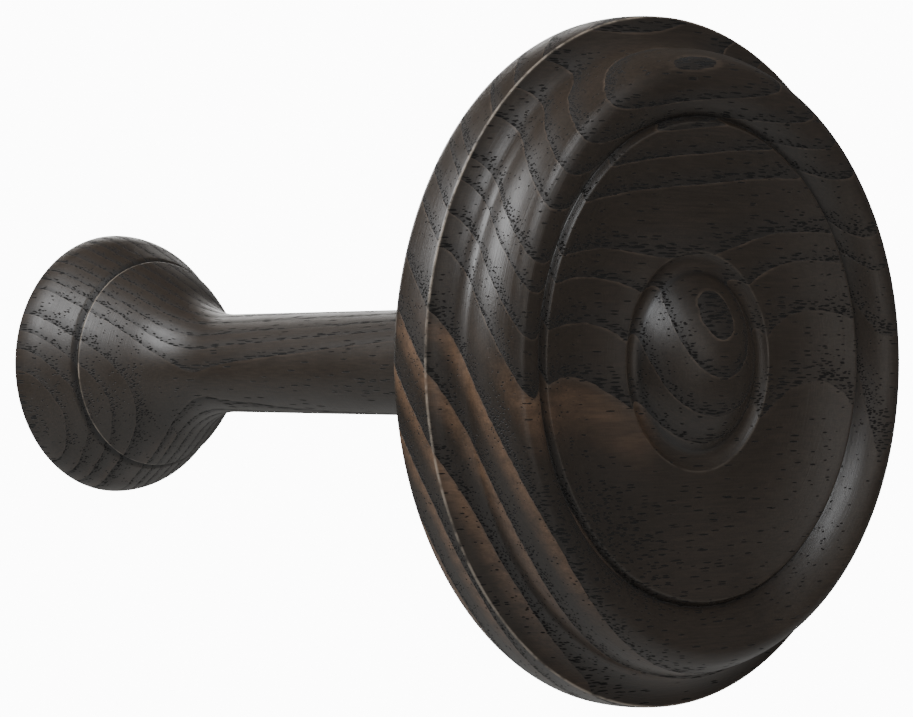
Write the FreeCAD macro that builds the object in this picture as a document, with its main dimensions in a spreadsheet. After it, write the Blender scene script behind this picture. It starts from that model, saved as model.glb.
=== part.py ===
"""Turned ash curtain holdback: a rosette on a stem with a bell foot, and the screws that hold it.

Every piece is drawn on its own Z axis, as it would stand in a lathe, and its Placement then lays
it along the Y axis of the part. The origin is the centre of the foot's back face, where the
holdback meets the wall; the wall lies towards +Y, the room towards -Y, and +Z is up.
"""
import FreeCAD, Part
import math
import os
import Sketcher

DOC = FreeCAD.newDocument("CurtainHoldback")
SHEET = DOC.addObject("Spreadsheet::Sheet", "Sizes")

# Driving dimensions, in millimetres unless the name says turns.
SIZES = {
    # stem and bell foot, measured out from the wall
    "stem_length": 118.8,
    "foot_radius": 22.15,
    "foot_round": 10.0,
    "foot_round_end": 5.2,
    "foot_round_end_radius": 20.7,
    "foot_groove_start": 9.7,
    "foot_groove_start_radius": 18.0,
    "foot_groove_floor": 10.4,
    "foot_groove_floor_radius": 17.0,
    "foot_groove_end": 11.0,
    "foot_groove_end_radius": 17.4,
    "bell_bulge": 80.0,
    "bell_turn": 18.0,
    "bell_turn_radius": 12.55,
    "bell_hollow": 21.3,
    "neck": 31.0,
    "neck_radius": 8.15,
    "stem_top_radius": 8.53,
    # rosette, measured out from its back face
    "rosette_back_radius": 48.05,
    "rosette_back_round": 2.2,
    "band_radius": 50.2,
    "band_bulge": 20.0,
    "arris_height": 7.15,
    "arris_radius": 50.0,
    "ledge_hollow": 6.5,
    "ledge_height": 8.7,
    "ledge_radius": 45.6,
    "ovolo_foot_height": 9.7,
    "ovolo_foot_radius": 45.1,
    "ovolo_outer_round": 8.0,
    "ovolo_shoulder_height": 15.3,
    "ovolo_shoulder_radius": 43.75,
    "ovolo_shoulder_round": 3.1,
    "crest_height": 17.0,
    "crest_radius": 41.2,
    "ovolo_inner_round": 7.6,
    "ring_groove_height": 13.65,
    "ring_groove_radius": 35.2,
    "lip_height": 14.85,
    "lip_radius": 34.4,
    "dish_hollow": 36.0,
    "boss_ring_height": 12.75,
    "boss_ring_radius": 15.8,
    "boss_cove": 2.4,
    "dome_edge_height": 12.45,
    "dome_radius": 12.8,
    "dome_round": 19.17,
    "dome_height": 17.35,
    "dome_pip_radius": 0.3,
    # M6 hanger bolts, measured from the tip of the machine thread
    "bolt_radius": 2.94,
    "bolt_tip_radius": 2.4,
    "bolt_tip_length": 0.6,
    "machine_pitch": 1.0,
    "machine_cut": 0.6,
    "machine_land": 0.15,
    "machine_turns": 12,
    "shank_end": 14.0,
    "wood_pitch": 2.5,
    "wood_cut": 0.85,
    "wood_land": 0.4,
    "wood_floor": 0.9,
    "wood_flank": 0.5,
    "rosette_wood_radius": 2.8,
    "rosette_wood_turns": 4,
    "rosette_point_length": 1.5,
    "rosette_point_radius": 1.6,
    "wall_wood_radius": 3.15,
    "wall_wood_turns": 8,
    "wall_point_length": 5.0,
    "wall_point_radius": 0.3,
    # M6 threaded inserts, measured in from the mouth
    "insert_radius": 5.0,
    "insert_bore": 3.0,
    "insert_length": 13.0,
    "insert_chamfer": 0.8,
    "insert_pitch": 2.5,
    "insert_cut": 0.7,
    "insert_land": 0.3,
    "insert_floor": 1.0,
    "insert_turns": 4,
    "insert_thread_start": 1.5,
    "slot_width": 1.2,
    "slot_depth": 1.6,
    "insert_recess": 0.3,
    # bores drilled in the wood
    "insert_hole_radius": 5.05,
    "insert_hole_depth": 16.0,
    "rosette_hole_radius": 2.85,
    "rosette_hole_depth": 12.6,
}


def fill_sheet():
    """Write each size as a number in a cell with an alias."""
    for row, (alias, size) in enumerate(SIZES.items(), start=1):
        SHEET.set("A%d" % row, alias)
        SHEET.set("B%d" % row, str(size))
        SHEET.setAlias("B%d" % row, alias)
    DOC.recompute()


def cells(expression):
    """Turn plain size names into references to the sheet."""
    words = expression.replace("(", " ( ").replace(")", " ) ").split()
    return " ".join("Sizes." + word if word in SIZES else word for word in words)


def amount(expression):
    """The value that an expression of size names has now."""
    return float(SHEET.evalExpression(cells(expression)))


def new_body(label):
    body = DOC.addObject("PartDesign::Body", label)
    body.Label = label
    return body


def origin_item(body, role):
    for item in body.Origin.OriginFeatures:
        if item.Role == role:
            return item
    raise RuntimeError("no %s in %s" % (role, body.Label))


def new_sketch(body, name, plane, lift=None):
    """A sketch on one of the body's own planes, lifted along its normal by an expression."""
    sketch = body.newObject("Sketcher::SketchObject", name)
    sketch.AttachmentSupport = (origin_item(body, plane), [""])
    sketch.MapMode = "FlatFace"
    if lift is not None:
        sketch.setExpression("AttachmentOffset.Base.z", cells(lift))
    return sketch


def arc_between(start, end, bow, radius):
    """The short arc from start to end, with the solid on the left of the way it goes."""
    chord = end - start
    inward = FreeCAD.Vector(-chord.y, chord.x, 0).normalize()
    reach = math.sqrt(radius * radius - chord.Length * chord.Length / 4)
    side = 1 if bow == "round" else -1
    centre = (start + end) * 0.5 + inward * side * reach
    first, last = (start, end) if bow == "round" else (end, start)
    first_angle = math.atan2(first.y - centre.y, first.x - centre.x)
    last_angle = math.atan2(last.y - centre.y, last.x - centre.x)
    if last_angle <= first_angle:
        last_angle += 2 * math.pi
    circle = Part.Circle(centre, FreeCAD.Vector(0, 0, 1), radius)
    return Part.ArcOfCircle(circle, first_angle, last_angle)


def pin_point(sketch, edge, end, corner):
    """Fix one end of an edge at (radius, height), each an expression, or 0 for on the axis."""
    for kind, axis, expression in (("DistanceX", -2, corner[0]), ("DistanceY", -1, corner[1])):
        if expression == "0":
            sketch.addConstraint(Sketcher.Constraint("PointOnObject", edge, end, axis))
            continue
        size = Sketcher.Constraint(kind, -1, 1, edge, end, amount(expression))
        number = sketch.addConstraint(size)
        sketch.setExpression("Constraints[%d]" % number, cells(expression))


def draw_profile(sketch, corners):
    """Draw a closed profile through (radius, height, edge) corners.

    The edge that leaves a corner is None for a straight line, or ("round", radius) or
    ("hollow", radius) for an arc. The solid lies to the left of the way round.
    """
    points = [FreeCAD.Vector(amount(c[0]), amount(c[1]), 0) for c in corners]
    starts = []
    ends = []
    for number, corner in enumerate(corners):
        start = points[number]
        end = points[(number + 1) % len(points)]
        if corner[2] is None:
            sketch.addGeometry(Part.LineSegment(start, end), False)
            starts.append(1)
            ends.append(2)
            continue
        bow, radius = corner[2]
        sketch.addGeometry(arc_between(start, end, bow, amount(radius)), False)
        starts.append(1 if bow == "round" else 2)
        ends.append(2 if bow == "round" else 1)
    for number in range(len(corners)):
        following = (number + 1) % len(corners)
        join = Sketcher.Constraint("Coincident", number, ends[number], following, starts[following])
        sketch.addConstraint(join)
    for number, corner in enumerate(corners):
        pin_point(sketch, number, starts[number], corner)
        if corner[2] is not None:
            radius = corner[2][1]
            size = Sketcher.Constraint("Radius", number, amount(radius))
            constraint = sketch.addConstraint(size)
            sketch.setExpression("Constraints[%d]" % constraint, cells(radius))


def turn_solid(body, corners):
    """Turn a closed profile round the body's Z axis."""
    sketch = new_sketch(body, body.Label + "_profile", "XZ_Plane")
    draw_profile(sketch, corners)
    turning = body.newObject("PartDesign::Revolution", body.Label + "_turning")
    turning.Profile = sketch
    turning.ReferenceAxis = (sketch, ["V_Axis"])
    turning.Angle = 360
    sketch.Visibility = False
    DOC.recompute()
    body.Tip = turning
    return turning


def turn_grooves(body, name, corners, pitch, turns):
    """Turn one ring groove into the body and repeat it along the axis, as the thread's rings."""
    sketch = new_sketch(body, name + "_profile", "XZ_Plane")
    draw_profile(sketch, corners)
    groove = body.newObject("PartDesign::Groove", name + "_groove")
    groove.Profile = sketch
    groove.ReferenceAxis = (sketch, ["V_Axis"])
    groove.Angle = 360
    DOC.recompute()
    body.Tip = groove
    DOC.recompute()
    pattern = body.newObject("PartDesign::LinearPattern", name + "_thread")
    pattern.Originals = [groove]
    pattern.Direction = (origin_item(body, "Z_Axis"), [""])
    pattern.setExpression("Length", cells("%s * ( %s - 1 )" % (pitch, turns)))
    pattern.setExpression("Occurrences", cells(turns))
    body.Tip = pattern
    DOC.recompute()
    return pattern


def drill(body, name, radius, depth, top=None):
    """Drill a blind hole on the axis, up from the base or, where top is given, down from there."""
    before = body.Shape.Volume
    sketch = new_sketch(body, name + "_circle", "XY_Plane", top)
    circle = Part.Circle(FreeCAD.Vector(0, 0, 0), FreeCAD.Vector(0, 0, 1), amount(radius))
    sketch.addGeometry(circle, False)
    sketch.addConstraint(Sketcher.Constraint("Coincident", 0, 3, -1, 1))
    number = sketch.addConstraint(Sketcher.Constraint("Radius", 0, amount(radius)))
    sketch.setExpression("Constraints[%d]" % number, cells(radius))
    hole = body.newObject("PartDesign::Pocket", name)
    hole.Profile = sketch
    hole.Reversed = top is None
    hole.setExpression("Length", cells(depth))
    body.Tip = hole
    DOC.recompute()
    drilled = before - body.Shape.Volume
    wanted = math.pi * amount(radius) ** 2 * amount(depth)
    if abs(drilled - wanted) > 0.01 * wanted:
        raise RuntimeError("%s removed %.2f mm3 in place of %.2f" % (name, drilled, wanted))


def lay_along_wall_axis(body, distance, towards_wall):
    """Lay the body's Z axis along Y, its base at a distance out from the wall."""
    turn = -90 if towards_wall else 90
    body.Placement.Rotation = FreeCAD.Rotation(FreeCAD.Vector(1, 0, 0), turn)
    body.setExpression("Placement.Base.y", cells("0 - ( %s )" % distance))
    DOC.recompute()


def make_stem():
    """Stem and bell foot turned in one piece, with a blind hole in each end for an insert."""
    body = new_body("stem")
    turn_solid(body, [
        ("0", "0", None),
        ("foot_radius", "0", ("round", "foot_round")),
        ("foot_round_end_radius", "foot_round_end", None),
        ("foot_groove_start_radius", "foot_groove_start", None),
        ("foot_groove_floor_radius", "foot_groove_floor", None),
        ("foot_groove_end_radius", "foot_groove_end", ("round", "bell_bulge")),
        ("bell_turn_radius", "bell_turn", ("hollow", "bell_hollow")),
        ("neck_radius", "neck", None),
        ("stem_top_radius", "stem_length", None),
        ("0", "stem_length", None),
    ])
    drill(body, "foot_insert_hole", "insert_hole_radius", "insert_hole_depth")
    drill(body, "front_insert_hole", "insert_hole_radius", "insert_hole_depth", "stem_length")
    lay_along_wall_axis(body, "0", False)
    return body


def make_rosette():
    """Rosette with a bulged band, a coved ledge, a heavy ovolo, a shallow dish and a domed boss."""
    body = new_body("rosette")
    turn_solid(body, [
        ("0", "0", None),
        ("rosette_back_radius", "0", ("round", "rosette_back_round")),
        ("band_radius", "rosette_back_round", ("round", "band_bulge")),
        ("arris_radius", "arris_height", ("hollow", "ledge_hollow")),
        ("ledge_radius", "ledge_height", None),
        ("ovolo_foot_radius", "ovolo_foot_height", ("round", "ovolo_outer_round")),
        ("ovolo_shoulder_radius", "ovolo_shoulder_height", ("round", "ovolo_shoulder_round")),
        ("crest_radius", "crest_height", ("round", "ovolo_inner_round")),
        ("ring_groove_radius", "ring_groove_height", None),
        ("lip_radius", "lip_height", ("hollow", "dish_hollow")),
        ("boss_ring_radius", "boss_ring_height", ("hollow", "boss_cove")),
        ("dome_radius", "dome_edge_height", ("round", "dome_round")),
        ("dome_pip_radius", "dome_height", None),
        ("0", "dome_height", None),
    ])
    drill(body, "rosette_bolt_hole", "rosette_hole_radius", "rosette_hole_depth")
    lay_along_wall_axis(body, "stem_length", False)
    return body


def make_hanger_bolt(label, place):
    """A hanger bolt: machine thread, short plain shank, wood thread and point."""
    wood_radius = place + "_wood_radius"
    wood_turns = place + "_wood_turns"
    thread_end = "shank_end + wood_pitch * " + wood_turns
    point_end = "%s + %s_point_length" % (thread_end, place)
    body = new_body(label)
    turn_solid(body, [
        ("0", "0", None),
        ("bolt_tip_radius", "0", None),
        ("bolt_radius", "bolt_tip_length", None),
        ("bolt_radius", "shank_end", None),
        (wood_radius, "shank_end", None),
        (wood_radius, thread_end, None),
        (place + "_point_radius", point_end, None),
        ("0", point_end, None),
    ])
    clear = "bolt_radius + machine_cut"
    turn_grooves(body, label + "_machine", [
        ("bolt_radius - machine_cut", "machine_pitch", None),
        (clear, "machine_pitch * 2 - machine_land", None),
        (clear, "machine_land", None),
    ], "machine_pitch", "machine_turns")
    floor = "%s - wood_cut" % wood_radius
    clear = "%s + wood_cut" % wood_radius
    turn_grooves(body, label + "_wood", [
        (floor, "shank_end + wood_land", None),
        (clear, "shank_end + wood_land", None),
        (clear, "shank_end + wood_pitch + wood_flank", None),
        (floor, "shank_end + wood_land + wood_floor", None),
    ], "wood_pitch", wood_turns)
    return body


def make_rosette_bolt():
    """The hanger bolt that joins the rosette to the stem; its wood thread starts at their joint."""
    body = make_hanger_bolt("rosette_bolt", "rosette")
    lay_along_wall_axis(body, "stem_length - shank_end", False)
    return body


def make_wall_bolt():
    """The hanger bolt that the foot is screwed onto; its wood thread starts at the foot's back."""
    body = make_hanger_bolt("wall_bolt", "wall")
    lay_along_wall_axis(body, "shank_end", True)
    return body


def make_insert(label):
    """A slotted threaded insert: outer wood thread, plain-drawn M6 bore, driving slot at the mouth."""
    body = new_body(label)
    turn_solid(body, [
        ("insert_bore", "0", None),
        ("insert_radius", "0", None),
        ("insert_radius", "insert_length - insert_chamfer", None),
        ("insert_radius - insert_chamfer", "insert_length", None),
        ("insert_bore", "insert_length", None),
    ])
    turn_grooves(body, label + "_outer", [
        ("insert_radius - insert_cut", "insert_thread_start", None),
        ("insert_radius + insert_cut", "insert_thread_start", None),
        ("insert_radius + insert_cut", "insert_thread_start + insert_pitch - insert_land", None),
        ("insert_radius - insert_cut", "insert_thread_start + insert_floor", None),
    ], "insert_pitch", "insert_turns")
    cut_slot(body, label)
    return body


def cut_slot(body, label):
    """Cut the driving slot across the mouth of an insert."""
    before = body.Shape.Volume
    sketch = new_sketch(body, label + "_slot_outline", "XY_Plane")
    reach = "insert_radius + 1"
    half = "slot_width / 2"
    far = amount(reach)
    near = amount(half)
    corners = [(-far, -near), (far, -near), (far, near), (-far, near)]
    points = [FreeCAD.Vector(x, y, 0) for x, y in corners]
    for number in range(4):
        sketch.addGeometry(Part.LineSegment(points[number], points[(number + 1) % 4]), False)
    for number in range(4):
        sketch.addConstraint(Sketcher.Constraint("Coincident", number, 2, (number + 1) % 4, 1))
    for number, kind in enumerate(["Horizontal", "Vertical", "Horizontal", "Vertical"]):
        sketch.addConstraint(Sketcher.Constraint(kind, number))
    sketch.addConstraint(Sketcher.Constraint("Symmetric", 0, 1, 1, 2, -1, 1))
    width = sketch.addConstraint(Sketcher.Constraint("DistanceX", 0, 1, 0, 2, 2 * far))
    height = sketch.addConstraint(Sketcher.Constraint("DistanceY", 1, 1, 1, 2, 2 * near))
    sketch.setExpression("Constraints[%d]" % width, cells("2 * ( %s )" % reach))
    sketch.setExpression("Constraints[%d]" % height, cells("2 * ( %s )" % half))
    slot = body.newObject("PartDesign::Pocket", label + "_slot")
    slot.Profile = sketch
    slot.Reversed = True
    slot.setExpression("Length", cells("slot_depth"))
    body.Tip = slot
    DOC.recompute()
    if before - body.Shape.Volume < 1.0:
        raise RuntimeError("the slot of %s cut nothing" % label)


def make_front_insert():
    """The insert in the stem's front end, a little below its face."""
    body = make_insert("front_insert")
    lay_along_wall_axis(body, "stem_length - insert_recess", True)
    return body


def make_foot_insert():
    """The insert in the foot's back face, a little below it."""
    body = make_insert("foot_insert")
    lay_along_wall_axis(body, "insert_recess", False)
    return body


def check_document(bodies):
    """Stop if any object failed or any piece isn't one valid solid."""
    for item in DOC.Objects:
        if "Invalid" in item.State or "Error" in item.State:
            raise RuntimeError("%s failed: %s" % (item.Label, item.State))
    for body in bodies:
        shape = body.Shape
        if shape.isNull() or not shape.isValid() or len(shape.Solids) != 1:
            raise RuntimeError("%s isn't one valid solid" % body.Label)


def write_pieces(bodies):
    os.makedirs("parts", exist_ok=True)
    for body in bodies:
        body.Shape.exportStep("parts/%s.step" % body.Label)
        box = body.Shape.BoundBox
        extents = (body.Label, box.XLength, box.YMin, box.YMax, box.ZLength, body.Shape.Volume)
        print("%-13s x %.2f  y %.2f to %.2f  z %.2f  volume %.0f" % extents)


fill_sheet()
PIECES = [
    make_stem(),
    make_foot_insert(),
    make_front_insert(),
    make_rosette(),
    make_rosette_bolt(),
    make_wall_bolt(),
]
DOC.recompute()
check_document(PIECES)
write_pieces(PIECES)
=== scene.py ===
"""Looks of a turned ash curtain holdback: a rosette on a stem with a bell foot, and its fixings."""

import collections
import math

import bpy
import numpy as np
from mathutils import Matrix, Vector


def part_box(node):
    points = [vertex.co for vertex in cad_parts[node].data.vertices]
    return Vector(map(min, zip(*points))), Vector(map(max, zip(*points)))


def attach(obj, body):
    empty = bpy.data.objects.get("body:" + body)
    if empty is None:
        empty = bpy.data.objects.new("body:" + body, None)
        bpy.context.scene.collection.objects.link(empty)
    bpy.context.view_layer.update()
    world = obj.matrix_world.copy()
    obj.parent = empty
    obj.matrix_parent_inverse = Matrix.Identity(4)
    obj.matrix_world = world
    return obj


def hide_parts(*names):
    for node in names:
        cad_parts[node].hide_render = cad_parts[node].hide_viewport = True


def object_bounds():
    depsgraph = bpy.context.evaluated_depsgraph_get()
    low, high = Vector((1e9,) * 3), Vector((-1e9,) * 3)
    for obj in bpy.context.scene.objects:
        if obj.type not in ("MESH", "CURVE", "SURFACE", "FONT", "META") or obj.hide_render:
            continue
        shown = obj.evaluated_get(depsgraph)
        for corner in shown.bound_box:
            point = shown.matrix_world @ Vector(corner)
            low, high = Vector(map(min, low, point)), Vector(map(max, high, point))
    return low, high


bl_info = {
    "name": "Turned Ash Curtain Holdback",
    "version": (1, 0, 0),
    "blender": (4, 5, 0),
    "location": "View3D > Sidebar > Holdback",
    "description": "Builds the turned ash pieces, finishes the fixings and sets up the studio",
    "category": "Object",
}

MM = 0.001
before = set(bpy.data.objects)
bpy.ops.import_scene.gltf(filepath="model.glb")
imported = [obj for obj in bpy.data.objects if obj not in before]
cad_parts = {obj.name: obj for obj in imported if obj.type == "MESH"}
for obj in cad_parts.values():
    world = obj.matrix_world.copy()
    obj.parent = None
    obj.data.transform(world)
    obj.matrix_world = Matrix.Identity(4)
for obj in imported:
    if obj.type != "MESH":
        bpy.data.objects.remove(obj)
CAD_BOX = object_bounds()
STEM_LOW, STEM_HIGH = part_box("stem")
ROSETTE_LOW, ROSETTE_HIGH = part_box("rosette")
STEM_LENGTH = (STEM_HIGH[1] - STEM_LOW[1]) / MM
ROSETTE_BACK = -ROSETTE_HIGH[1] / MM
PROJECTION = -ROSETTE_LOW[1]
FOOT_RADIUS = STEM_HIGH[0] / MM


# ---------------------------------------------------------------- sizes and colours a user may set


class HoldbackShape(bpy.types.PropertyGroup):
    """How finely the two turnings are made and how much the wood has moved."""

    edge_rounding: bpy.props.FloatProperty(
        name="Edge rounding", description="How far sanding has rounded each edge",
        default=0.18 * MM, min=0.02 * MM, max=0.5 * MM, unit="LENGTH")
    ovality: bpy.props.FloatProperty(
        name="Ovality", description="Share by which the wood has shrunk across its fibres",
        default=0.0012, min=0.0, max=0.01, subtype="FACTOR")
    segments: bpy.props.IntProperty(
        name="Segments", description="Steps round each turning", default=384, min=96, max=512)


class AshFinish(bpy.types.PropertyGroup):
    """The dark stain on open-grained ash."""

    late_colour: bpy.props.FloatVectorProperty(
        name="Late wood", description="Stained colour of the dense late wood",
        default=(0.0285, 0.0200, 0.0138), min=0.0, max=1.0, subtype="COLOR")
    early_colour: bpy.props.FloatVectorProperty(
        name="Early wood", description="Stained colour of the porous early wood",
        default=(0.0160, 0.0120, 0.0092), min=0.0, max=1.0, subtype="COLOR")
    # Warm colour: thin stain before the ring lines, and towards the lower left also a painted sheen.
    warm_colour: bpy.props.FloatVectorProperty(
        name="Warm wood", description="Colour where the stain is thin before a ring line",
        default=(0.155, 0.090, 0.053), min=0.0, max=1.0, subtype="COLOR")
    line_colour: bpy.props.FloatVectorProperty(
        name="Ring line", description="Colour of the thin line at each ring's edge",
        default=(0.092, 0.066, 0.048), min=0.0, max=1.0, subtype="COLOR")
    # Pale colour of the worn edges: bare wood, and on the rosette's arris also a painted highlight.
    worn_and_highlight_colour: bpy.props.FloatVectorProperty(
        name="Worn wood", description="Colour of the bare wood on worn edges",
        default=(0.600, 0.500, 0.400), min=0.0, max=1.0, subtype="COLOR")
    pore_colour: bpy.props.FloatVectorProperty(
        name="Pores", description="Colour of the stain that has settled in the pores",
        default=(0.0040, 0.0036, 0.0032), min=0.0, max=1.0, subtype="COLOR")
    # How much of that pale colour goes on: wear, and on the arris a painted highlight.
    wear_and_highlight_amount: bpy.props.FloatProperty(
        name="Edge wear", description="How much of the stain is gone from the worn edges",
        default=0.8, min=0.0, max=1.0, subtype="FACTOR")


class FixingFinish(bpy.types.PropertyGroup):
    """The colours of the metal fixings."""

    zinc_colour: bpy.props.FloatVectorProperty(
        name="Zinc", description="Colour of the bright zinc plating on the bolts",
        default=(0.62, 0.63, 0.66), min=0.0, max=1.0, subtype="COLOR")
    brass_colour: bpy.props.FloatVectorProperty(
        name="Brass", description="Colour of the brass inserts",
        default=(0.70, 0.50, 0.22), min=0.0, max=1.0, subtype="COLOR")
    grime_colour: bpy.props.FloatVectorProperty(
        name="Grime", description="Colour of the dark film in the threads",
        default=(0.09, 0.08, 0.07), min=0.0, max=1.0, subtype="COLOR")


class StudioSetup(bpy.types.PropertyGroup):
    """The camera, the lights and the floor."""

    view_azimuth: bpy.props.FloatProperty(
        name="View azimuth", description="Angle of the camera round the holdback",
        default=math.radians(-45.43), subtype="ANGLE")
    view_distance: bpy.props.FloatProperty(
        name="View distance", description="From the camera to the point it aims at",
        default=0.4857, min=0.2, unit="LENGTH")
    aim_share: bpy.props.FloatProperty(
        name="Aim", description="Share of the projection, from the wall, that the camera aims at",
        default=0.606, min=0.0, max=1.0, subtype="FACTOR")
    camera_rise: bpy.props.FloatProperty(
        name="Camera rise", description="Height of the camera over the turning axis",
        default=0.6 * MM, unit="LENGTH")
    camera_roll: bpy.props.FloatProperty(
        name="Camera roll", description="Turn of the camera about its own line of sight",
        default=math.radians(-0.25), subtype="ANGLE")
    focal_length: bpy.props.FloatProperty(
        name="Focal length", description="Lens on a 36 mm sensor, in millimetres",
        default=123.8, min=20.0)
    key_power: bpy.props.FloatProperty(
        name="Key light", description="Power of the large soft light, in watts", default=6.6)
    fill_power: bpy.props.FloatProperty(
        name="Fill light", description="Power of the light across from it, in watts", default=2.4)
    side_power: bpy.props.FloatProperty(
        name="Side light", description="Power of the low light on the right, in watts", default=0.5)
    back_power: bpy.props.FloatProperty(
        name="Back light", description="Power of the light behind the holdback, in watts", default=3.6)
    floor_drop: bpy.props.FloatProperty(
        name="Floor drop", description="From the lowest point of the holdback to the floor",
        default=0.25, min=0.0, unit="LENGTH")


# ---------------------------------------------------------------- profiles and turnings

ARC_STEP = 0.03
LONGEST_STEP = 0.5
TURN_PER_STEP = math.radians(4.0)
WORN_AND_HIGHLIGHT_REACH, GROOVE_DARK_REACH, EASED_REACH = 1.0, 0.5, 1.6
EASED_ROUNDING = 0.8
ROUND, HOLLOW = 1, -1


def bowed_edge(start, end, bow, radius):
    """Points along one edge of a profile, without its last; the solid is on the left."""
    start, end = np.array(start, float), np.array(end, float)
    chord = end - start
    length = np.hypot(*chord)
    count = max(2, int(length / ARC_STEP))
    share = np.arange(count) / count
    if radius is None:
        return start + share[:, None] * chord
    inward = np.array([-chord[1], chord[0]]) / length
    centre = (start + end) / 2 + inward * bow * math.sqrt(radius ** 2 - length ** 2 / 4)
    half = math.asin(length / 2 / radius)
    outward = math.atan2(*(-bow * inward)[::-1])
    angles = outward + bow * half * (2 * share - 1)
    return centre + radius * np.stack([np.cos(angles), np.sin(angles)], axis=1)


def drawn_profile(corners):
    """A fine outline, in millimetres, through (radius, height, bow, arc radius) corners."""
    runs = []
    for corner, following in zip(corners, corners[1:]):
        runs.append(bowed_edge(corner[:2], following[:2], *corner[2:]))
    runs.append(np.array([corners[-1][:2]], float))
    return np.concatenate(runs)


def evened_profile(points):
    """The outline with its points a fixed step apart."""
    steps = np.hypot(*np.diff(points, axis=0).T)
    run = np.concatenate([[0.0], np.cumsum(steps)])
    even = np.arange(0.0, run[-1], ARC_STEP)
    return np.stack([np.interp(even, run, points[:, i]) for i in (0, 1)], axis=1)


def softened(outline, rounding):
    """The outline averaged over a short reach, its ends kept."""
    reach = int(4 * rounding / ARC_STEP)
    weights = np.exp(-0.5 * (np.arange(-reach, reach + 1) * ARC_STEP / rounding) ** 2)
    weights /= weights.sum()
    padded = np.pad(outline, ((reach, reach), (0, 0)), mode="edge")
    soft = np.stack([np.convolve(padded[:, i], weights, "valid") for i in (0, 1)], axis=1)
    soft[0], soft[-1] = outline[0], outline[-1]
    return soft


def sanded_profile(points, eased, rounding):
    """The outline with its edges rounded, more so at the eased ones, and how convex it is."""
    outline = evened_profile(points)
    share = nearness(outline, eased, EASED_REACH)[:, None]
    smooth = softened(outline, rounding) * (1 - share)
    smooth += softened(outline, EASED_ROUNDING) * share
    heading = np.unwrap(np.arctan2(*np.gradient(smooth, axis=0).T[::-1]))
    return smooth, np.gradient(heading) / ARC_STEP


def thinned_profile(outline, bend):
    """Fewer points, close together only where the outline bends."""
    cost = ARC_STEP / LONGEST_STEP + np.abs(bend) * ARC_STEP / TURN_PER_STEP
    total = np.cumsum(cost)
    wanted = np.arange(total[0], total[-1], 1.0)
    picks = np.unique(np.concatenate([[0], np.searchsorted(total, wanted), [len(total) - 1]]))
    return outline[picks], bend[picks]


def turned_piece(name, corners, marks, base, shape):
    """A closed turning about the Y axis; base is how far its first height is from the wall."""
    outline, bend = sanded_profile(
        drawn_profile(corners), marks["eased"], shape.edge_rounding / MM)
    outline, bend = thinned_profile(outline, bend)
    inner = outline[1:-1]
    # Pale on convex marked corners: worn wood, and on the rosette's arris also a painted highlight.
    wear = np.clip((bend[1:-1] - 0.5) / 2.0, 0.0, 1.0) * nearness(inner, marks["worn"], WORN_AND_HIGHLIGHT_REACH)
    # Groove bottoms get negative values here, which are made near-black in the shader.
    wear -= nearness(inner, marks["settled"], GROOVE_DARK_REACH) * (wear <= 0.05)
    turns = np.arange(shape.segments) * 2 * math.pi / shape.segments
    radius, height = inner[:, 0:1] * MM, (base + inner[:, 1:2]) * MM
    rows = np.stack([
        radius * np.cos(turns),
        np.broadcast_to(-height, (len(inner), shape.segments)),
        radius * np.sin(turns) * (1 - shape.ovality)], axis=-1).reshape(-1, 3)
    ends = np.array([[0.0, -(base + outline[i, 1]) * MM, 0.0] for i in (0, -1)])
    points = np.concatenate([rows, ends])
    mesh = bpy.data.meshes.new(name)
    mesh.from_pydata(points, [], turned_faces(len(inner), shape.segments))
    mesh.polygons.foreach_set("use_smooth", np.ones(len(mesh.polygons), bool))
    # The attribute holds the pale edges (worn wood, with a painted highlight on the arris) and, as
    # negative values, the near-black groove bottoms.
    layer = mesh.attributes.new("edge_wear", "FLOAT", "POINT")
    layer.data.foreach_set("value", np.concatenate([np.repeat(wear, shape.segments), [0.0, 0.0]]))
    mesh.update()
    piece = bpy.data.objects.new(name, mesh)
    bpy.context.scene.collection.objects.link(piece)
    return piece


def nearness(points, places, reach):
    """How near each point of an outline is to some places, each (radius, height, amount)."""
    total = np.zeros(len(points))
    for radius, height, amount in places:
        apart = np.hypot(points[:, 0] - radius, points[:, 1] - height)
        total += amount * np.exp(-(apart / reach) ** 2)
    return np.clip(total, 0.0, 1.0)


def turned_faces(rows, segments):
    """Quads between the rings of a turning, and a fan of triangles at each end."""
    faces = []
    for row in range(rows - 1):
        low, high = row * segments, (row + 1) * segments
        for step in range(segments):
            after = (step + 1) % segments
            faces.append((low + step, high + step, high + after, low + after))
    first_end, last_end = rows * segments, rows * segments + 1
    last_row = (rows - 1) * segments
    for step in range(segments):
        after = (step + 1) % segments
        faces.append((first_end, step, after))
        faces.append((last_end, last_row + after, last_row + step))
    return faces


def rosette_corners():
    """The rosette from its bolt hole round the back, band, ledge, ovolo and dish to the dome."""
    thick = (ROSETTE_HIGH[1] - ROSETTE_LOW[1]) / MM
    hole_radius, hole_depth = 2.85, thick - 4.75
    return [
        (0.0, hole_depth, 0, None),
        (hole_radius, hole_depth, 0, None),
        (hole_radius, 0.0, 0, None),
        (48.05, 0.0, ROUND, 2.2),
        (50.2, 2.2, ROUND, 20.0),
        (50.0, 7.15, HOLLOW, 6.5),
        (45.6, 8.7, 0, None),
        (45.1, 9.7, ROUND, 8.0),
        (43.75, 15.3, ROUND, 3.1),
        (41.2, 17.0, ROUND, 7.6),
        (35.2, 13.65, 0, None),
        (34.4, 14.85, HOLLOW, 36.0),
        (15.8, 12.75, HOLLOW, 2.4),
        (12.8, 12.45, ROUND, 19.17),
        (0.0, thick, 0, None),
    ]


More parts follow.
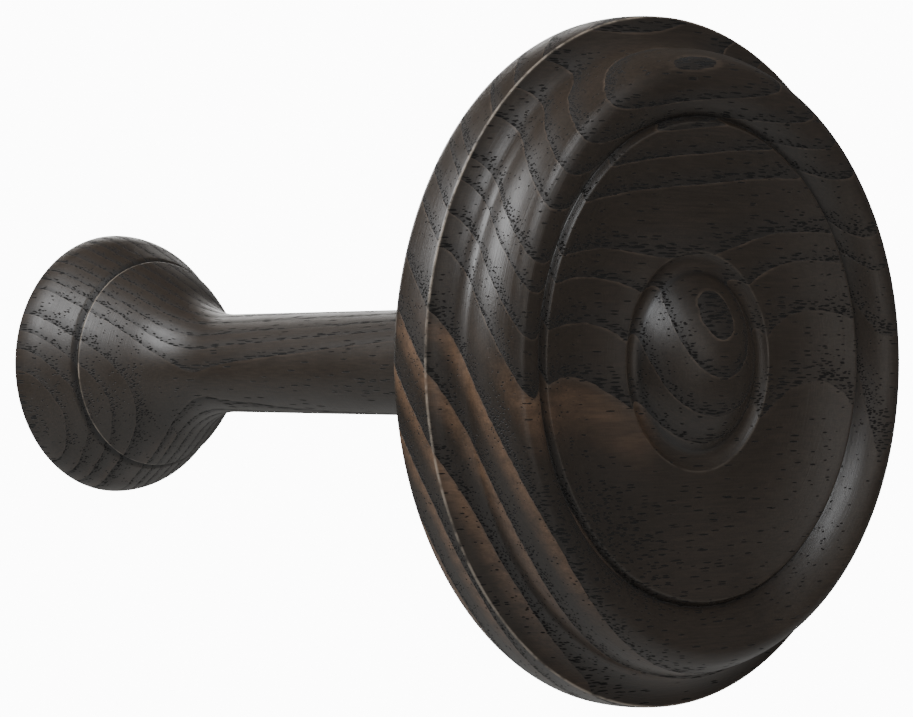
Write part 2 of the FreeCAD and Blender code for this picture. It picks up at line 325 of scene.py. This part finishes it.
def stem_corners():
    """The stem from the foot's hole round the foot and bell, up the stem and into its end hole."""
    hole_radius, hole_depth = 5.05, 16.0
    top = STEM_LENGTH
    return [
        (0.0, hole_depth, 0, None),
        (hole_radius, hole_depth, 0, None),
        (hole_radius, 0.0, 0, None),
        (FOOT_RADIUS, 0.0, ROUND, 10.0),
        (20.7, 5.2, 0, None),
        (18.0, 9.7, 0, None),
        (17.0, 10.4, 0, None),
        (17.4, 11.0, ROUND, 80.0),
        (12.55, 18.0, HOLLOW, 21.3),
        (8.15, 31.0, 0, None),
        (8.53, top, 0, None),
        (hole_radius, top, 0, None),
        (hole_radius, top - hole_depth, 0, None),
        (0.0, top - hole_depth, 0, None),
    ]


# Corners rubbed by hands and cloth, painted pale as worn wood and, on the rosette's arris,
# also as a painted highlight; groove bottoms made near-black; and corners sanded soft; each as
# (radius, height, amount), in millimetres.
ROSETTE_MARKS = {
    "worn": ((50.0, 7.15, 0.55), (34.4, 14.85, 0.05), (15.8, 12.75, 0.14), (48.05, 0.0, 0.4)),
    "settled": ((35.2, 13.65, 0.9), (12.8, 12.45, 0.7)),
    "eased": ((45.5, 9.0, 1.0), (34.4, 14.85, 0.35), (15.8, 12.75, 0.15)),
}
STEM_MARKS = {
    "worn": ((18.0, 9.7, 0.20), (17.4, 11.0, 0.45), (22.15, 0.0, 0.4)),
    "settled": ((17.0, 10.4, 1.0), (17.5, 10.05, 0.6)),
    "eased": (),
}


# ---------------------------------------------------------------- how each blank was cut from its tree

Wood = collections.namedtuple(
    "Wood", "origin outward sideways pith bow swelling knoll turn warm warm_side plain_side gloss edges")

# Lengths in millimetres. The rings grow along `outward`, curve round a pith `pith` away and
# bend by `bow` along the fibres; they bulge by `swelling` over the point `knoll`. `turn` brings
# the fibres to X, `warm` says how thin the stain is and the side vector after it where it is
# thinnest, which also paints a sheen on the lower left; the rings fade away from `plain_side`;
# `gloss` is how smooth it is and `edges` end its years.
ROSETTE_WOOD = Wood(
    origin=(0.0, -131.0, 0.0), outward=(-0.003, -0.936, 0.352), sideways=(-0.351, 0.352, 0.936),
    pith=121.0, bow=-0.0035, swelling=1.1, knoll=(0.5, 0.0, 6.5), turn=0.0, warm=1.0,
    warm_side=(-0.010, 0.0, -0.011), plain_side=(-0.018, 0.0, 0.022), gloss=0.71,
    edges=(-40.0, -36.0, -32.0, -28.5, -24.6, -21.0, -17.0, -12.4, -8.0, -2.4, 0.8,
           4.2, 6.5, 11.5, 14.8, 18.0, 21.6, 25.2, 28.4, 31.6, 35.0, 39.0))
STEM_WOOD = Wood(
    origin=(0.0, 0.0, 0.0), outward=(0.905, 0.0544, 0.425), sideways=(-0.425, -0.0488, 0.905),
    pith=116.0, bow=0.0, swelling=0.0, knoll=(0.0, 0.0, 0.0), turn=-94.0, warm=0.2,
    warm_side=(-0.015, 0.003, -0.015), plain_side=(0.0, 0.003, 0.010), gloss=0.65,
    edges=(-34.0, -30.0, -27.4, -24.8, -22.4, -20.1, -18.2, -16.1, -13.6, -9.2, -7.4, -5.5,
           -3.2, -1.0, 1.6, 4.0, 6.6, 9.2, 12.4, 15.2, 18.6, 22.0, 26.0, 30.0))


# ---------------------------------------------------------------- shader building

PORES_PER_MM = (0.32, 3.5, 3.5)
FIBRES_PER_MM = (0.14, 4.0, 4.0)
STREAKS_PER_MM = (0.03, 0.7, 0.7)
SANDING_PER_MM = 6.5
WOOD_RELIEF = 0.065 * MM
METAL_RELIEF = 0.02 * MM
BRIGHT_METAL = (0.92, 0.90, 0.86)


class Sketch:
    """A node tree with short ways to add and join its nodes."""

    def __init__(self, tree):
        self.tree = tree

    def add(self, kind, inputs=None, **settings):
        node = self.tree.nodes.new(kind)
        for key, value in settings.items():
            setattr(node, key, value)
        for key, value in (inputs or {}).items():
            self.feed(node.inputs[key], value)
        return node

    def feed(self, socket, value):
        if isinstance(value, bpy.types.NodeSocket):
            self.tree.links.new(value, socket)
        else:
            socket.default_value = value

    def sum(self, operation, first, second=0.5, third=0.5, clamp=False):
        inputs = {0: first, 1: second, 2: third}
        node = self.add("ShaderNodeMath", inputs, operation=operation, use_clamp=clamp)
        return node.outputs[0]

    def along(self, operation, first, second=(0.0, 0.0, 0.0)):
        node = self.add("ShaderNodeVectorMath", {0: first, 1: second}, operation=operation)
        return node.outputs["Value" if operation in ("LENGTH", "DOT_PRODUCT") else "Vector"]

    def ease(self, value, low, high, start=0.0, end=1.0):
        """Start where value is low, end where it is high, and a smooth step between them."""
        node = self.add("ShaderNodeMapRange", {
            "Value": value, "From Min": low, "From Max": high, "To Min": start, "To Max": end,
        }, interpolation_type="SMOOTHSTEP")
        return node.outputs["Result"]

    def mixed(self, share, first, second, blend="MIX"):
        node = self.add("ShaderNodeMix", data_type="RGBA", blend_type=blend)
        colours = [socket for socket in node.inputs if socket.type == "RGBA"]
        self.feed(node.inputs[0], share)
        self.feed(colours[0], opaque(first))
        self.feed(colours[1], opaque(second))
        return [socket for socket in node.outputs if socket.type == "RGBA"][0]

    def noise(self, vector, scale, detail=2.0, roughness=0.5):
        node = self.add("ShaderNodeTexNoise", {
            "Vector": vector, "Scale": scale, "Detail": detail, "Roughness": roughness})
        return node.outputs[0]

    def stretched(self, vector, factors):
        return self.along("MULTIPLY", vector, factors)


def opaque(colour):
    if isinstance(colour, bpy.types.NodeSocket):
        return colour
    return tuple(colour)[:3] + (1.0,)


def new_group(name, inputs, outputs):
    """A node group with its named sockets; each is (name, type, default) or (name, type)."""
    tree = bpy.data.node_groups.new(name, "ShaderNodeTree")
    for entry in inputs:
        socket = tree.interface.new_socket(entry[0], in_out="INPUT", socket_type=entry[1])
        if len(entry) > 2:
            socket.default_value = entry[2]
    for entry in outputs:
        tree.interface.new_socket(entry[0], in_out="OUTPUT", socket_type=entry[1])
    sketch = Sketch(tree)
    return sketch, sketch.add("NodeGroupInput").outputs, sketch.add("NodeGroupOutput").inputs


VALUE, VECTOR = "NodeSocketFloat", "NodeSocketVector"


def ring_depth_group():
    """How far out from the blank's middle a point lies in the tree, in millimetres."""
    if "Ring depth" in bpy.data.node_groups:
        return bpy.data.node_groups["Ring depth"]
    sketch, given, out = new_group(
        "Ring depth",
        [("Vector", VECTOR), ("Fibre vector", VECTOR), ("Outward", VECTOR), ("Sideways", VECTOR),
         ("Pith distance", VALUE, 100.0), ("Bow", VALUE, 0.0), ("Swelling", VALUE, 0.0),
         ("Knoll", VECTOR)],
        [("Depth", VALUE)])
    outward = sketch.along("DOT_PRODUCT", given["Vector"], given["Outward"])
    sideways = sketch.along("DOT_PRODUCT", given["Vector"], given["Sideways"])
    lengthways = sketch.add("ShaderNodeSeparateXYZ", {0: given["Fibre vector"]}).outputs["X"]
    curve = sketch.sum("DIVIDE", sketch.sum("MULTIPLY", sideways, sideways),
                       sketch.sum("MULTIPLY", given["Pith distance"], 2.0))
    bend = sketch.sum("MULTIPLY", sketch.sum("MULTIPLY", lengthways, lengthways), given["Bow"])
    slow = sketch.noise(sketch.stretched(given["Fibre vector"], (0.03, 0.06, 0.06)), 1.0, 1.0, 0.4)
    quick = sketch.noise(sketch.stretched(given["Fibre vector"], (0.15, 0.7, 0.7)), 1.0, 2.0, 0.6)
    wander = sketch.sum("MULTIPLY_ADD", slow, 1.2, -0.6)
    shake = sketch.sum("MULTIPLY_ADD", quick, 0.34, -0.17)
    away = sketch.along("LENGTH", sketch.stretched(
        sketch.along("SUBTRACT", given["Vector"], given["Knoll"]), (0.10, 0.0, 0.12)))
    knoll = sketch.sum("MULTIPLY", sketch.ease(away, 1.0, 0.0), given["Swelling"])
    depth = sketch.sum("ADD", sketch.sum("ADD", outward, curve), sketch.sum("ADD", bend, knoll))
    sketch.feed(out["Depth"], sketch.sum("ADD", depth, sketch.sum("ADD", wander, shake)))
    return sketch.tree


def ash_grain_group():
    """One year's growth of ash from its ring count, and its pores, with the fibres along X."""
    if "Ash grain" in bpy.data.node_groups:
        return bpy.data.node_groups["Ash grain"]
    sketch, given, out = new_group(
        "Ash grain", [("Vector", VECTOR), ("Count", VALUE, 0.0)],
        [("Early wood", VALUE), ("Ring line", VALUE), ("Warmth", VALUE), ("Pores", VALUE),
         ("Fibre", VALUE), ("Streak", VALUE)])
    vector = given["Vector"]
    ring = sketch.sum("FRACT", given["Count"])
    whole = sketch.sum("FLOOR", given["Count"])
    year = sketch.add("ShaderNodeTexWhiteNoise", {"W": whole}, noise_dimensions="1D").outputs["Value"]
    early_end = sketch.sum("MULTIPLY_ADD", year, 0.20, 0.42)
    fade = sketch.add("ShaderNodeMapRange", {
        "Value": ring, "From Min": 0.0, "From Max": early_end, "To Min": 1.0, "To Max": 0.0})
    early = fade.outputs["Result"]
    cells = sketch.add("ShaderNodeTexVoronoi", {
        "Vector": sketch.stretched(vector, PORES_PER_MM), "Scale": 1.0, "Randomness": 1.0,
    }, voronoi_dimensions="3D", feature="F1")
    pick = sketch.add("ShaderNodeSeparateColor", {0: cells.outputs["Color"]})
    first_row = sketch.ease(ring, 0.30, 0.10)
    chance = sketch.sum("MULTIPLY_ADD", sketch.sum("POWER", early, 1.2), 0.88, 0.10)
    chance = sketch.sum("MAXIMUM", chance, first_row)
    present = sketch.sum("LESS_THAN", pick.outputs[0], chance)
    size = sketch.sum("MULTIPLY_ADD", pick.outputs[1], 0.14, 0.34)
    size = sketch.sum("MULTIPLY_ADD", first_row, 0.08, size)
    pore = sketch.ease(cells.outputs["Distance"], size, sketch.sum("MULTIPLY", size, 0.7))
    sketch.feed(out["Early wood"], early)
    sketch.feed(out["Ring line"], sketch.ease(ring, 0.93, 0.985))
    sketch.feed(out["Warmth"], sketch.ease(ring, 0.42, 1.0))
    sketch.feed(out["Pores"], sketch.sum("MULTIPLY", pore, present))
    fibre = sketch.noise(sketch.stretched(vector, FIBRES_PER_MM), 1.0, 3.0, 0.65)
    streak = sketch.noise(sketch.stretched(vector, STREAKS_PER_MM), 1.0, 2.0, 0.6)
    sketch.feed(out["Fibre"], fibre)
    sketch.feed(out["Streak"], streak)
    return sketch.tree


def lathe_marks_group():
    """Fine rings left by sanding on the lathe, round the Y axis, in millimetres."""
    if "Lathe marks" in bpy.data.node_groups:
        return bpy.data.node_groups["Lathe marks"]
    sketch, given, out = new_group("Lathe marks", [("Vector", VECTOR)], [("Marks", VALUE)])
    parts = sketch.add("ShaderNodeSeparateXYZ", {0: given["Vector"]})
    radius = sketch.along("LENGTH", sketch.stretched(given["Vector"], (1.0, 0.0, 1.0)))
    angle = sketch.sum("ARCTAN2", parts.outputs["Z"], parts.outputs["X"])
    place = sketch.add("ShaderNodeCombineXYZ", {
        "X": sketch.sum("MULTIPLY", radius, SANDING_PER_MM),
        "Y": sketch.sum("MULTIPLY", parts.outputs["Y"], SANDING_PER_MM),
        "Z": sketch.sum("MULTIPLY", sketch.sum("SINE", angle), 4.0)})
    sketch.feed(out["Marks"], sketch.noise(place.outputs[0], 1.0, 2.0, 0.7))
    return sketch.tree


def patchy_wear_group():
    """Breaks an even mask up into worn patches, and gives a film of dust and handling."""
    if "Patchy wear" in bpy.data.node_groups:
        return bpy.data.node_groups["Patchy wear"]
    sketch, given, out = new_group(
        "Patchy wear",
        [("Vector", VECTOR), ("Mask", VALUE, 0.0), ("Patch size", VALUE, 3.0)],
        [("Wear", VALUE), ("Film", VALUE)])
    scale = sketch.sum("DIVIDE", 1.0, given["Patch size"])
    patches = sketch.noise(given["Vector"], scale, 4.0, 0.6)
    kept = sketch.ease(patches, 0.34, 0.60, 0.15, 1.0)
    sketch.feed(out["Wear"], sketch.sum("MULTIPLY", given["Mask"], kept, clamp=True))
    wide = sketch.noise(given["Vector"], sketch.sum("MULTIPLY", scale, 0.2), 5.0, 0.6)
    sketch.feed(out["Film"], sketch.ease(wide, 0.3, 0.7))
    return sketch.tree


def new_material(name):
    material = bpy.data.materials.new(name)
    material.use_nodes = True
    tree = material.node_tree
    tree.nodes.clear()
    sketch = Sketch(tree)
    surface = sketch.add("ShaderNodeBsdfPrincipled")
    sketch.add("ShaderNodeOutputMaterial", {"Surface": surface.outputs[0]})
    return material, sketch, surface


def placed_group(sketch, group, inputs):
    return sketch.add("ShaderNodeGroup", inputs, node_tree=group).outputs


def ring_count(sketch, depth, edges):
    """Years of growth up to a depth, from the depths at which the years end."""
    low, high, years = edges[0], edges[-1], len(edges) - 1
    share = sketch.sum("DIVIDE", sketch.sum("SUBTRACT", depth, low), high - low)
    node = sketch.add("ShaderNodeFloatCurve", {"Value": share})
    curve = node.mapping.curves[0]
    for year, edge in enumerate(edges[1:-1], start=1):
        curve.points.new((edge - low) / (high - low), year / years)
    for point in curve.points:
        point.handle_type = "VECTOR"
    node.mapping.update()
    return sketch.sum("MULTIPLY", node.outputs[0], years)


def ash_material(name, finish, wood):
    """Stained ash, cut from its tree as its wood says."""
    material, sketch, surface = new_material(name)
    place = sketch.add("ShaderNodeTexCoord").outputs["Object"]
    metric = sketch.stretched(place, (1 / MM, 1 / MM, 1 / MM))
    moved = sketch.along("SUBTRACT", metric, wood.origin)
    fibres = sketch.add("ShaderNodeVectorRotate", {
        "Vector": moved, "Axis": (0.0, 0.0, 1.0), "Angle": math.radians(wood.turn)}).outputs[0]
    depth = placed_group(sketch, ring_depth_group(), {
        "Vector": moved, "Fibre vector": fibres, "Outward": wood.outward,
        "Sideways": wood.sideways, "Pith distance": wood.pith, "Bow": wood.bow,
        "Swelling": wood.swelling, "Knoll": wood.knoll})["Depth"]
    grain = placed_group(sketch, ash_grain_group(), {
        "Vector": fibres, "Count": ring_count(sketch, depth, wood.edges)})
    marks = placed_group(sketch, lathe_marks_group(), {"Vector": metric})["Marks"]
    edge = sketch.add("ShaderNodeAttribute", attribute_name="edge_wear").outputs["Fac"]
    wear = placed_group(sketch, patchy_wear_group(), {
        "Vector": metric, "Mask": edge, "Patch size": 2.5})
    broad = sketch.noise(sketch.stretched(fibres, (0.02, 0.06, 0.06)), 1.0, 2.0, 0.5)
    # The warm patch leans towards the lower left: thin stain, and there also a painted sheen.
    warm_stain_and_sheen_patch = sketch.sum("ADD", broad, sketch.along("DOT_PRODUCT", moved, wood.warm_side))
    shown = sketch.sum("ADD", broad, sketch.along("DOT_PRODUCT", moved, wood.plain_side))
    shown = sketch.ease(shown, 0.10, 0.70, 0.22, 1.0)
    thin = sketch.sum("MULTIPLY", grain["Warmth"], sketch.ease(warm_stain_and_sheen_patch, 0.80, 1.04, 0.0, wood.warm))
    thin = sketch.sum("MULTIPLY", thin, shown)
    thin = sketch.sum("MULTIPLY", thin, sketch.ease(grain["Streak"], 0.25, 0.65, 0.45, 1.0))
    early = sketch.sum("MULTIPLY", grain["Early wood"], shown)
    colour = sketch.mixed(early, finish.late_colour, finish.early_colour)
    colour = sketch.mixed(thin, colour, finish.warm_colour)
    line = sketch.sum("MULTIPLY", grain["Ring line"], sketch.ease(
        grain["Streak"], 0.3, 0.7, 0.10, 0.30 + 0.35 * wood.warm))
    line = sketch.sum("MULTIPLY", line, shown)
    colour = sketch.mixed(line, colour, finish.line_colour)
    shade = sketch.sum("MULTIPLY_ADD", grain["Fibre"], 1.5, 0.2)
    shade = sketch.sum("MULTIPLY_ADD", wear["Film"], 0.16, shade)
    shades = sketch.add("ShaderNodeCombineXYZ", {"X": shade, "Y": shade, "Z": shade}).outputs[0]
    colour = sketch.mixed(1.0, colour, shades, "MULTIPLY")
    colour = sketch.mixed(sketch.sum("MULTIPLY", grain["Pores"], 0.92), colour, finish.pore_colour)
    # Groove bottoms, from the attribute's negative values, made near-black with the pore colour.
    settled = sketch.sum("MULTIPLY", edge, -0.75, clamp=True)
    colour = sketch.mixed(settled, colour, finish.pore_colour)
    # Pale bare wood on the worn edges, which along the arris is also a painted highlight.
    bare = sketch.sum("MULTIPLY", wear["Wear"], finish.wear_and_highlight_amount)
    colour = sketch.mixed(bare, colour, finish.worn_and_highlight_colour)
    rough = sketch.sum("MULTIPLY_ADD", grain["Pores"], 0.60, 1.0 - wood.gloss)
    rough = sketch.sum("MULTIPLY_ADD", grain["Early wood"], 0.14, rough)
    rough = sketch.sum("MULTIPLY_ADD", marks, 0.14, rough)
    rough = sketch.sum("MULTIPLY_ADD", wear["Film"], 0.05, rough)
    relief = sketch.sum("MULTIPLY_ADD", grain["Pores"], -1.0, 1.0)
    relief = sketch.sum("MULTIPLY_ADD", grain["Early wood"], -0.18, relief)
    relief = sketch.sum("MULTIPLY_ADD", grain["Fibre"], 0.12, relief)
    relief = sketch.sum("MULTIPLY_ADD", marks, 0.38, relief)
    bump = sketch.add("ShaderNodeBump", {
        "Height": relief, "Strength": 1.0, "Distance": WOOD_RELIEF})
    sketch.feed(surface.inputs["Base Color"], colour)
    sketch.feed(surface.inputs["Roughness"], rough)
    sketch.feed(surface.inputs["Normal"], bump.outputs[0])
    surface.inputs["Specular IOR Level"].default_value = 0.6
    return material


def metal_material(name, colour, grime, patch_size, polish):
    """Plated or turned metal with bright edges and a dark film in its threads."""
    material, sketch, surface = new_material(name)
    place = sketch.add("ShaderNodeTexCoord").outputs["Object"]
    metric = sketch.stretched(place, (1 / MM, 1 / MM, 1 / MM))
    convex = sketch.add("ShaderNodeNewGeometry").outputs["Pointiness"]
    edge = sketch.ease(convex, 0.50, 0.60)
    wear = placed_group(sketch, patchy_wear_group(), {
        "Vector": metric, "Mask": edge, "Patch size": patch_size})
    finer = sketch.stretched(metric, (2.0, 2.0, 2.0))
    marks = placed_group(sketch, lathe_marks_group(), {"Vector": finer})
    hollow = sketch.ease(convex, 0.50, 0.42)
    dull = sketch.mixed(sketch.sum("MULTIPLY", wear["Film"], 0.35), colour, grime)
    dull = sketch.mixed(sketch.sum("MULTIPLY", hollow, 0.7), dull, grime)
    bright = sketch.mixed(sketch.sum("MULTIPLY", wear["Wear"], 0.8), dull, BRIGHT_METAL)
    rough = sketch.sum("MULTIPLY_ADD", wear["Film"], 0.22, polish)
    rough = sketch.sum("MULTIPLY_ADD", marks["Marks"], 0.12, rough)
    bump = sketch.add("ShaderNodeBump", {
        "Height": marks["Marks"], "Strength": 0.6, "Distance": METAL_RELIEF})
    sketch.feed(surface.inputs["Base Color"], bright)
    sketch.feed(surface.inputs["Roughness"], rough)
    sketch.feed(surface.inputs["Normal"], bump.outputs[0])
    surface.inputs["Metallic"].default_value = 1.0
    return material


def dress_node(node, material):
    """Give a carried-over piece its finish."""
    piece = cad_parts[node]
    if not piece.material_slots:
        piece.data.materials.append(material)
    for slot in piece.material_slots:
        slot.material = material


# ---------------------------------------------------------------- operators


class HOLDBACK_OT_rosette(bpy.types.Operator):
    """Turn the rosette and finish it as stained ash with its fibres running sideways"""

    bl_idname = "holdback.rosette"
    bl_label = "Turn Rosette"

    def execute(self, context):
        scene = context.scene
        finish = scene.holdback_ash
        piece = turned_piece("rosette_turning", rosette_corners(), ROSETTE_MARKS, ROSETTE_BACK,
                             scene.holdback_shape)
        piece.data.materials.append(ash_material("Rosette ash", finish, ROSETTE_WOOD))
        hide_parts("rosette")
        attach(piece, "rosette")
        return {"FINISHED"}


class HOLDBACK_OT_stem(bpy.types.Operator):
    """Turn the stem and bell foot and finish them as stained ash with the fibres lengthways"""

    bl_idname = "holdback.stem"
    bl_label = "Turn Stem"

    def execute(self, context):
        scene = context.scene
        finish = scene.holdback_ash
        piece = turned_piece("stem_turning", stem_corners(), STEM_MARKS, 0.0, scene.holdback_shape)
        piece.data.materials.append(ash_material("Stem ash", finish, STEM_WOOD))
        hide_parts("stem")
        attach(piece, "stem")
        return {"FINISHED"}


class HOLDBACK_OT_inserts(bpy.types.Operator):
    """Finish the two threaded inserts as turned brass"""

    bl_idname = "holdback.inserts"
    bl_label = "Finish Inserts"

    def execute(self, context):
        finish = context.scene.holdback_fixings
        brass = metal_material("Turned brass", finish.brass_colour, finish.grime_colour, 1.5, 0.28)
        for node in ("front_insert", "foot_insert"):
            dress_node(node, brass)
        return {"FINISHED"}


class HOLDBACK_OT_bolts(bpy.types.Operator):
    """Finish the two hanger bolts as bright zinc plate"""

    bl_idname = "holdback.bolts"
    bl_label = "Finish Bolts"

    def execute(self, context):
        finish = context.scene.holdback_fixings
        zinc = metal_material("Zinc plate", finish.zinc_colour, finish.grime_colour, 1.2, 0.22)
        for node in ("rosette_bolt", "wall_bolt"):
            dress_node(node, zinc)
        return {"FINISHED"}


def soft_light(name, place, aim, size, power, colour):
    """A large square light at a place, facing a point."""
    data = bpy.data.lights.new(name, "AREA")
    data.shape = "RECTANGLE"
    data.size, data.size_y = size
    data.energy = power
    data.color = colour
    light = bpy.data.objects.new(name, data)
    light.location = place
    light.rotation_euler = (Vector(aim) - Vector(place)).to_track_quat("-Z", "Y").to_euler()
    bpy.context.scene.collection.objects.link(light)


FLOOR_RADIUS = 0.8
FLOOR_GLOW = 3.5
FLOOR_DARK, FLOOR_LIGHT = (0.52, 0.52, 0.51), (0.56, 0.56, 0.55)
SURROUND_LIGHT, SURROUND_GLOW = 0.10, 11.9

# Each light's setting, its place back, left and up from the point aimed at, its size and colour.
LIGHTS = (
    ("Key light", "key_power", (0.32, 0.44, 0.45), (0.34, 0.46), (0.94, 0.97, 1.0)),
    ("Fill light", "fill_power", (0.50, -0.32, 0.46), (0.30, 0.34), (0.94, 0.97, 1.0)),
    ("Side light", "side_power", (0.36, -0.70, 0.10), (0.25, 0.45), (1.0, 0.97, 0.93)),
)
BACK_LIGHT_PLACE = (0.38, 0.62, 0.26)


def studio_floor(drop):
    """A round pale floor under the holdback."""
    low = CAD_BOX[0][2] - drop
    bpy.ops.mesh.primitive_circle_add(
        vertices=96, radius=FLOOR_RADIUS, fill_type="NGON", location=(0.0, -PROJECTION / 2, low))
    floor = bpy.context.object
    floor.name = "studio_floor"
    material, sketch, surface = new_material("Pale floor")
    place = sketch.add("ShaderNodeTexCoord").outputs["Object"]
    tone = sketch.ease(sketch.noise(place, 3.0, 4.0, 0.6), 0.3, 0.7)
    sketch.feed(surface.inputs["Base Color"], sketch.mixed(tone, FLOOR_DARK, FLOOR_LIGHT))
    surface.inputs["Roughness"].default_value = 0.9
    surface.inputs["Emission Color"].default_value = (1.0, 1.0, 0.99, 1.0)
    seen = sketch.add("ShaderNodeLightPath").outputs["Is Camera Ray"]
    sketch.feed(surface.inputs["Emission Strength"], sketch.sum("MULTIPLY", seen, FLOOR_GLOW))
    floor.data.materials.append(material)


def studio_world():
    """A white surround for the eye, and a dimmer one for what it lights."""
    world = bpy.data.worlds.new("Studio")
    bpy.context.scene.world = world
    world.use_nodes = True
    world.node_tree.nodes.clear()
    sketch = Sketch(world.node_tree)
    seen = sketch.add("ShaderNodeLightPath").outputs["Is Camera Ray"]
    strength = sketch.sum("MULTIPLY_ADD", seen, SURROUND_GLOW, SURROUND_LIGHT)
    white = sketch.add("ShaderNodeBackground", {"Color": (1.0, 1.0, 1.0, 1.0), "Strength": strength})
    sketch.add("ShaderNodeOutputWorld", {"Surface": white.outputs[0]})


class HOLDBACK_OT_stage(bpy.types.Operator):
    """Set up the floor, the surround, the lights and the camera"""

    bl_idname = "holdback.stage"
    bl_label = "Set Up Studio"

    def execute(self, context):
        setup = context.scene.holdback_studio
        studio_floor(setup.floor_drop)
        studio_world()
        aim = Vector((0.0, -PROJECTION * setup.aim_share, 0.0))
        angle = setup.view_azimuth
        back = Vector((math.sin(angle), -math.cos(angle), 0.0))
        left = Vector((-math.cos(angle), -math.sin(angle), 0.0))
        up = Vector((0.0, 0.0, 1.0))
        for name, power, (far_back, far_left, far_up), size, colour in LIGHTS:
            place = aim + back * far_back + left * far_left + up * far_up
            soft_light(name, place, aim, size, getattr(setup, power), colour)
        soft_light("Back light", Vector(BACK_LIGHT_PLACE), aim, (0.5, 0.4),
                   setup.back_power, (1.0, 0.99, 0.97))
        data = bpy.data.cameras.new("Camera")
        data.sensor_width = 36.0
        data.lens = setup.focal_length
        camera = bpy.data.objects.new("Camera", data)
        camera.location = aim + back * setup.view_distance + up * setup.camera_rise
        turn = (-back).to_track_quat("-Z", "Y").to_matrix().to_4x4()
        camera.rotation_euler = (turn @ Matrix.Rotation(setup.camera_roll, 4, "Z")).to_euler()
        context.scene.collection.objects.link(camera)
        context.scene.camera = camera
        return {"FINISHED"}


class HOLDBACK_PT_panel(bpy.types.Panel):
    """The steps that build the holdback, in order"""

    bl_label = "Turned Ash Curtain Holdback"
    bl_idname = "HOLDBACK_PT_panel"
    bl_space_type = "VIEW_3D"
    bl_region_type = "UI"
    bl_category = "Holdback"

    def draw(self, context):
        scene = context.scene
        for title, settings in (
                ("Turnings", scene.holdback_shape), ("Ash", scene.holdback_ash),
                ("Fixings", scene.holdback_fixings), ("Studio", scene.holdback_studio)):
            box = self.layout.box()
            box.label(text=title)
            for name in settings.__annotations__:
                box.prop(settings, name)
        for operator in OPERATORS:
            self.layout.operator(operator.bl_idname)


SETTINGS = {
    "holdback_shape": HoldbackShape,
    "holdback_ash": AshFinish,
    "holdback_fixings": FixingFinish,
    "holdback_studio": StudioSetup,
}
OPERATORS = (
    HOLDBACK_OT_rosette,
    HOLDBACK_OT_stem,
    HOLDBACK_OT_inserts,
    HOLDBACK_OT_bolts,
    HOLDBACK_OT_stage,
)


def register():
    for cls in (*SETTINGS.values(), *OPERATORS, HOLDBACK_PT_panel):
        bpy.utils.register_class(cls)
    for name, cls in SETTINGS.items():
        setattr(bpy.types.Scene, name, bpy.props.PointerProperty(type=cls))


def unregister():
    for name in SETTINGS:
        delattr(bpy.types.Scene, name)
    for cls in reversed((*SETTINGS.values(), *OPERATORS, HOLDBACK_PT_panel)):
        bpy.utils.unregister_class(cls)


def main():
    register()
    bpy.ops.holdback.rosette()
    bpy.ops.holdback.stem()
    bpy.ops.holdback.inserts()
    bpy.ops.holdback.bolts()
    bpy.ops.holdback.stage()


if __name__ == "__main__":
    main()
